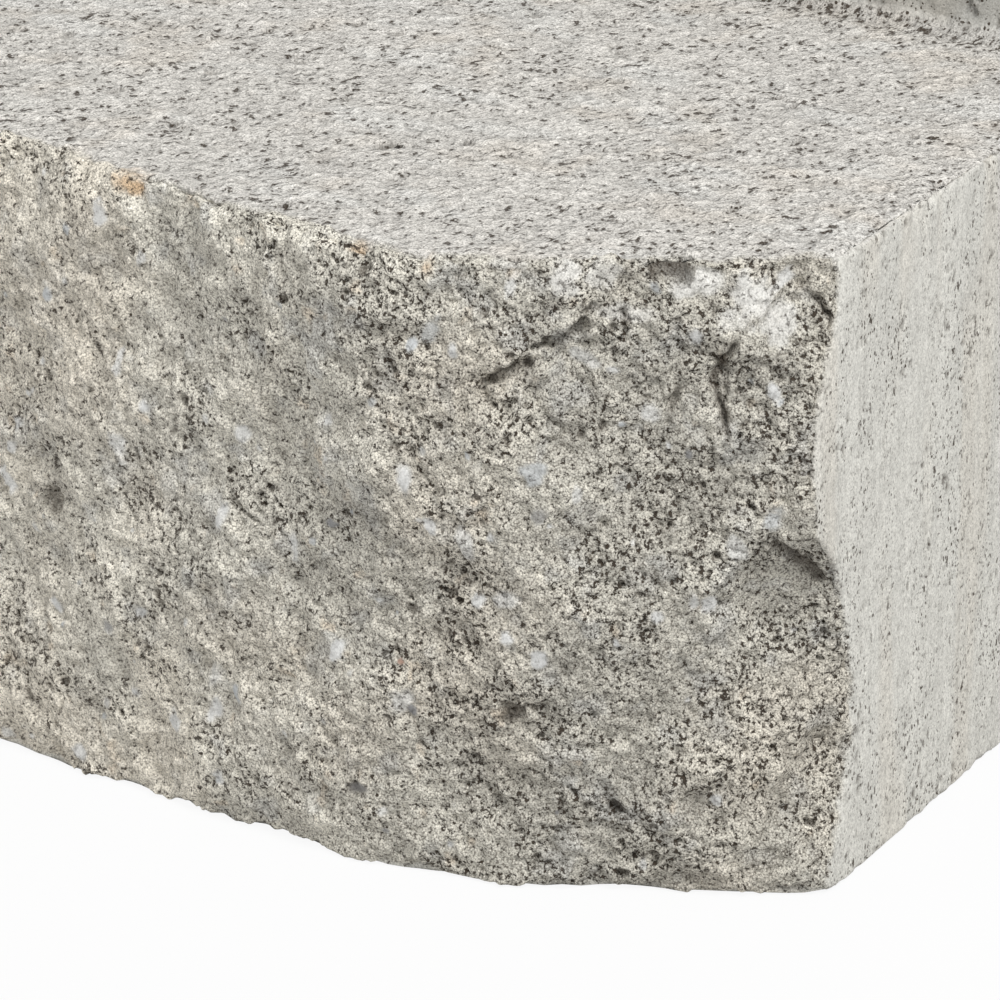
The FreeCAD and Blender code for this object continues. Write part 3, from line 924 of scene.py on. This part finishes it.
# Materials
class Nodes:
    """Short ways to make and join the shader nodes of a material or of the world."""

    def __init__(self, owner):
        owner.use_nodes = True
        self.owner = owner
        self.tree = owner.node_tree

    def new(self, kind, inputs=(), **settings):
        node = self.tree.nodes.new(kind)
        for key, value in settings.items():
            setattr(node, key, value)
        for key, value in dict(inputs).items():
            if isinstance(value, bpy.types.NodeSocket):
                self.tree.links.new(value, node.inputs[key])
            else:
                node.inputs[key].default_value = value
        return node

    def math(self, operation, a, b=0.0, clamp=False):
        node = self.new("ShaderNodeMath", {0: a, 1: b}, operation=operation, use_clamp=clamp)
        return node.outputs[0]

    def times(self, a, b):
        return self.math("MULTIPLY", a, b)

    def centred(self, a):
        return self.math("SUBTRACT", a, 0.5)

    def ramp(self, value, low, high, start=0.0, end=1.0):
        inputs = {"Value": value, "From Min": low, "From Max": high, "To Min": start, "To Max": end}
        return self.new("ShaderNodeMapRange", inputs, interpolation_type="SMOOTHSTEP").outputs[0]

    def noise(self, vector, size, detail=2.0, roughness=0.5):
        inputs = {"Vector": vector, "Scale": 1 / size, "Detail": detail, "Roughness": roughness}
        return self.new("ShaderNodeTexNoise", inputs).outputs["Fac"]

    def stretch(self, vector, factors):
        inputs = {0: vector, 1: factors}
        return self.new("ShaderNodeVectorMath", inputs, operation="MULTIPLY").outputs[0]

    def specks(self, vector, size, share, least, most, grit, edge=0.6, ragged=0.9):
        """Spots with ragged outlines, one in each cell with the given share, 1 inside."""
        cells = self.new("ShaderNodeTexVoronoi", {"Vector": vector, "Scale": 1 / size})
        random = self.new("ShaderNodeSeparateColor", {"Color": cells.outputs["Color"]})
        there = self.math("LESS_THAN", random.outputs["Red"], share)
        there = self.times(there, self.ramp(random.outputs["Blue"], 0.0, 0.8, 0.35, 1.0))
        radius = self.ramp(random.outputs["Green"], 0.0, 1.0, least / size, most / size)
        inner = self.times(radius, edge)
        away = self.sum((cells.outputs["Distance"], 1.0), (self.centred(grit), ragged / size))
        return self.times(self.ramp(away, inner, radius, 1.0, 0.0), there)

    def sum(self, *terms):
        """Products added up."""
        total = None
        for first, second in terms:
            product = self.times(first, second)
            total = product if total is None else self.math("ADD", total, product)
        return total


# Size of the sand grains in millimetres, how much each kind of mark changes the tone, and how
# strong the painted shade in crevices and holes is
SAND_SIZE = 0.31
GRAIN_TONE = 0.42
GRIT_TONE = 1.35
CREVICE_SHADE_SHARE = 0.68
HOLE_SHADE_SHARE = 0.98


def concrete(name, skin=None):
    """Dry-cast concrete: the broken face, and the skin of a piece, which is struck or cast."""
    n = Nodes(bpy.data.materials.new(name))
    place = n.new("ShaderNodeTexCoord").outputs["Object"]
    mm = n.stretch(place, (1 / MM, 1 / MM, 1 / MM))
    paint_in = n.new("ShaderNodeAttribute", attribute_name="paint").outputs["Color"]
    crowd = n.new("ShaderNodeAttribute", attribute_name="crowd").outputs["Fac"]
    kinds = n.new("ShaderNodeAttribute", attribute_name="kinds").outputs["Color"]
    kind = n.new("ShaderNodeSeparateColor", {"Color": kinds})
    broken, struck, even = kind.outputs["Red"], kind.outputs["Green"], kind.outputs["Blue"]
    cast = n.math("SUBTRACT", n.math("SUBTRACT", 1.0, broken), struck, clamp=True)
    # grains of sand, with painted shade in the crevices between them
    cells = n.new("ShaderNodeTexVoronoi", {"Vector": mm, "Scale": 1 / SAND_SIZE})
    grain = n.new("ShaderNodeSeparateColor", {"Color": cells.outputs["Color"]})
    away = cells.outputs["Distance"]
    crevice_shade = n.ramp(away, 0.42, 0.82)
    glint = n.times(n.ramp(grain.outputs["Green"], 0.90, 1.0), n.ramp(away, 0.45, 0.2))
    grit = n.noise(mm, 0.85, 3.0, 0.68)
    full = n.math("SUBTRACT", 1.0, n.times(even, 0.8))
    whole = n.times(broken, full)
    rough_share = n.sum((whole, 1.0), (struck, 0.62), (cast, 0.34))
    # The grains' tone differs at random. The grit's tone is partly the sand's own and partly
    # painted shade that follows its bump, lighter where it stands out. The glints are painted
    # highlights.
    speckle = n.sum(
        (n.centred(grain.outputs["Red"]), GRAIN_TONE),
        (n.centred(grit), GRIT_TONE),
        (glint, 0.6),
    )
    shade = n.sum((n.math("ADD", speckle, 0.2 * CREVICE_SHADE_SHARE), rough_share))
    height = n.sum((n.sum((away, -0.09), (grit, 0.6)), rough_share))
    gaps = n.ramp(n.sum((grit, 1.0), (crowd, -0.075)), 0.375, 0.315)
    small = n.times(n.specks(mm, 1.05, 0.75, 0.14, 0.42, grit), crowd)
    holes = n.times(n.math("MAXIMUM", small, gaps), whole)
    if skin == "struck":
        # small scales, and fewer pores in a compact skin
        scales = n.noise(n.stretch(mm, (1.0, 0.8, 1.0)), 1.4, 2.0, 0.6)
        mm_bed = n.stretch(mm, (1.0, 0.55, 1.0))
        fine_specks = n.specks(mm_bed, 0.85, 0.7, 0.12, 0.38, grit)
        large_specks = n.specks(mm_bed, 2.6, 0.34, 0.2, 0.7, scales, 0.4, 3.0)
        open_pores = n.times(n.math("MAXIMUM", fine_specks, large_specks), crowd)
        clefts = n.ramp(n.sum((scales, 1.0), (crowd, -0.06)), 0.36, 0.29)
        bed_holes = n.times(n.math("MAXIMUM", open_pores, clefts), 0.82)
        holes = n.sum((holes, 1.0), (bed_holes, struck), (open_pores, cast))
        # The scales' tone is painted shade that follows their bump, lighter where they stand out
        shade = n.sum((shade, 1.0), (n.times(n.centred(scales), 1.15), struck))
        height = n.sum((height, 1.0), (n.times(scales, 1.9), struck))
    elif skin == "cast":
        # pores and dashes drawn out along the mould
        dots = n.specks(n.stretch(mm, (1.0, 1.0, 0.7)), 0.5, 0.85, 0.06, 0.23, grit)
        dashes = n.specks(n.stretch(mm, (1.0, 1.0, 0.5)), 1.2, 0.5, 0.10, 0.42, grit)
        side_holes = n.times(n.math("MAXIMUM", dots, dashes), crowd)
        holes = n.sum((holes, 1.0), (side_holes, cast))
        streaks = n.noise(n.stretch(mm, (1.0, 1.0, 0.07)), 0.8, 3.0, 0.65)
        fine = n.noise(n.stretch(mm, (1.0, 1.0, 0.4)), 0.33, 2.0, 0.6)
        drawn_tone = n.sum((n.centred(streaks), 0.36), (n.centred(fine), 0.7))
        shade = n.sum((shade, 1.0), (drawn_tone, cast))
        height = n.sum((height, 1.0), (n.times(streaks, 0.05), cast))
    holes = n.math("MINIMUM", holes, 1.0)
    tone = n.math("ADD", shade, 1.0)
    inputs = {0: paint_in, "Scale": tone}
    colour = n.new("ShaderNodeVectorMath", inputs, operation="SCALE").outputs[0]
    shade_between_grains = n.times(n.times(crevice_shade, CREVICE_SHADE_SHARE), rough_share)
    # Holes and the crevices between grains are mixed towards the colour of painted shade
    dark = n.math("ADD", n.times(holes, HOLE_SHADE_SHARE), shade_between_grains)
    dark = n.math("MINIMUM", dark, HOLE_SHADE_SHARE)
    inputs = {0: dark, 6: colour, 7: (*HOLE_SHADE_COLOUR, 1.0)}
    toned = n.new("ShaderNodeMix", inputs, data_type="RGBA").outputs[2]
    height = n.math("SUBTRACT", height, n.times(n.times(gaps, whole), 0.25))
    bump = n.new("ShaderNodeBump", {"Strength": 1.0, "Distance": 0.001, "Height": height})
    shader = n.tree.nodes["Principled BSDF"]
    n.tree.links.new(toned, shader.inputs["Base Color"])
    n.tree.links.new(bump.outputs[0], shader.inputs["Normal"])
    shader.inputs["Roughness"].default_value = 0.93
    shader.inputs["Specular IOR Level"].default_value = 0.25
    return n.owner


split_concrete = concrete("concrete_split")
bed_concrete = concrete("concrete_bed", "struck")
side_concrete = concrete("concrete_side", "cast")


# A point inside the block from which every part of its surface is in plain sight
FAN_MIDDLE = (0.0, REAR - 14.0, 60.0)


def make_piece(name, tri, material):
    """A closed piece: the patch and a fan from its border to a point inside the block."""
    used, local = np.unique(tri, return_inverse=True)
    tri = local.reshape(-1, 3)
    edges = np.concatenate([tri[:, [0, 1]], tri[:, [1, 2]], tri[:, [2, 0]]])
    key = edges[:, 0].astype(np.int64) * len(used) + edges[:, 1]
    back_key = edges[:, 1].astype(np.int64) * len(used) + edges[:, 0]
    border = edges[~np.isin(key, back_key)]
    middle = len(used)
    fan = np.stack([border[:, 1], border[:, 0], np.full(len(border), middle)], 1)
    spots = np.concatenate([final[used], [FAN_MIDDLE]]) * MM
    faces = np.concatenate([tri, fan])
    mesh = bpy.data.meshes.new(name)
    mesh.vertices.add(len(spots))
    mesh.vertices.foreach_set("co", spots.astype(np.float32).ravel())
    mesh.loops.add(faces.size)
    mesh.loops.foreach_set("vertex_index", faces.astype(np.int32).ravel())
    mesh.polygons.add(len(faces))
    mesh.polygons.foreach_set("loop_start", np.arange(0, faces.size, 3, dtype=np.int32))
    mesh.polygons.foreach_set("use_smooth", np.ones(len(faces), bool))
    mesh.update(calc_edges=True)
    mesh.validate()
    for attribute_name, values in (("paint", paint), ("kinds", np.stack([split, upward, even], 1))):
        colours = np.ones((len(spots), 4), np.float32)
        colours[:-1, :3] = np.clip(values[used], 0, 1)
        attribute = mesh.color_attributes.new(attribute_name, "FLOAT_COLOR", "POINT")
        attribute.data.foreach_set("color", colours.ravel())
    crowd_values = np.concatenate([crowd[used], [0.0]]).astype(np.float32)
    mesh.attributes.new("crowd", "FLOAT", "POINT").data.foreach_set("value", crowd_values)
    normals = np.concatenate([vertex_normal[used], [(0.0, 0.0, 1.0)]])
    mesh.normals_split_custom_set_from_vertices(normals.tolist())
    piece = bpy.data.objects.new(name, mesh)
    bpy.context.scene.collection.objects.link(piece)
    mesh.materials.append(material)
    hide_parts("block")
    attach(piece, "root")
    print(name, len(faces), "triangles, open edges", len(border))


OWN_MATERIALS = {"bed": bed_concrete, "cast_sides": side_concrete}
for name, tri in all_triangles.items():
    make_piece(name, tri, OWN_MATERIALS.get(name, split_concrete))


# Floor, light and camera
WHITE = (1, 1, 1, 1)
FLOOR_HALF = 6.0
FLOOR_COLOUR = (0.72, 0.72, 0.72, 1)
FLOOR_SHOWN = 0.92
SOFT_LIGHT = 0.38


def seen_directly(n):
    """1 for rays from the camera, or that reach the eye by gloss or through glass."""
    path = n.new("ShaderNodeLightPath").outputs
    seen = n.math("MAXIMUM", path["Is Camera Ray"], path["Is Glossy Ray"])
    return n.math("MAXIMUM", seen, path["Is Transmission Ray"])


def end_mixed(n, share, first, second, output):
    """Join two shaders by a share, and end the tree with them."""
    inputs = {0: share, 1: first.outputs[0], 2: second.outputs[0]}
    n.new(output, {"Surface": n.new("ShaderNodeMixShader", inputs).outputs[0]})


def paper():
    """A matt floor that is as bright as paper to the camera and keeps a soft shadow."""
    n = Nodes(bpy.data.materials.new("floor_paper"))
    n.tree.nodes.clear()
    matt = n.new("ShaderNodeBsdfDiffuse", {"Color": FLOOR_COLOUR})
    glow = n.new("ShaderNodeEmission", {"Color": WHITE})
    shown = n.times(seen_directly(n), FLOOR_SHOWN)
    end_mixed(n, shown, matt, glow, "ShaderNodeOutputMaterial")
    return n.owner


floor_mesh = bpy.data.meshes.new("floor")
corner_signs = ((-1, -1), (1, -1), (1, 1), (-1, 1))
floor_corners = [(x * FLOOR_HALF, y * FLOOR_HALF, 0) for x, y in corner_signs]
floor_mesh.from_pydata(floor_corners, [], [(0, 1, 2, 3)])
floor = bpy.data.objects.new("floor", floor_mesh)
floor_mesh.materials.append(paper())
bpy.context.scene.collection.objects.link(floor)

world = bpy.data.worlds.new("studio")
bpy.context.scene.world = world
studio = Nodes(world)
studio.tree.nodes.clear()
soft, white = (
    studio.new("ShaderNodeBackground", {"Color": WHITE, "Strength": strength})
    for strength in (SOFT_LIGHT, 1.0)
)
end_mixed(studio, seen_directly(studio), soft, white, "ShaderNodeOutputWorld")


def lamp(name, place, target, size, power):
    data = bpy.data.lights.new(name, "AREA")
    data.shape = "DISK"
    data.size = size
    data.energy = power
    item = bpy.data.objects.new(name, data)
    item.location = place
    item.rotation_mode = "QUATERNION"
    item.rotation_quaternion = (Vector(target) - Vector(place)).to_track_quat("-Z", "Y")
    bpy.context.scene.collection.objects.link(item)


LIT_POINT = (0.0, 0.0, 0.05)
lamp("key", (1.2, -0.5, 1.7), LIT_POINT, 0.7, 34.0)
lamp("fill", (-1.6, -1.6, 1.1), LIT_POINT, 1.4, 12.0)

# Camera, as fitted to the photograph
CAMERA_PLACE = (0.5923, -0.6682, 0.3583)
YAW = math.radians(39.24)
PITCH = math.radians(21.09)
ROLL = math.radians(0.55)
FOCAL_PIXELS = 5580.0
IMAGE_WIDTH = 1000.0
SENSOR = 36.0
camera_data = bpy.data.cameras.new("camera")
camera_data.sensor_width = SENSOR
camera_data.lens = FOCAL_PIXELS / IMAGE_WIDTH * SENSOR
camera_data.clip_start = 0.05
camera_data.clip_end = 20.0
camera = bpy.data.objects.new("camera", camera_data)
turn = Euler((math.pi / 2 - PITCH, 0.0, YAW)).to_matrix() @ Matrix.Rotation(-ROLL, 3, "Z")
camera.matrix_world = Matrix.Translation(Vector(CAMERA_PLACE)) @ turn.to_4x4()
bpy.context.scene.collection.objects.link(camera)
bpy.context.scene.camera = camera
bpy.context.scene.view_settings.view_transform = "Standard"
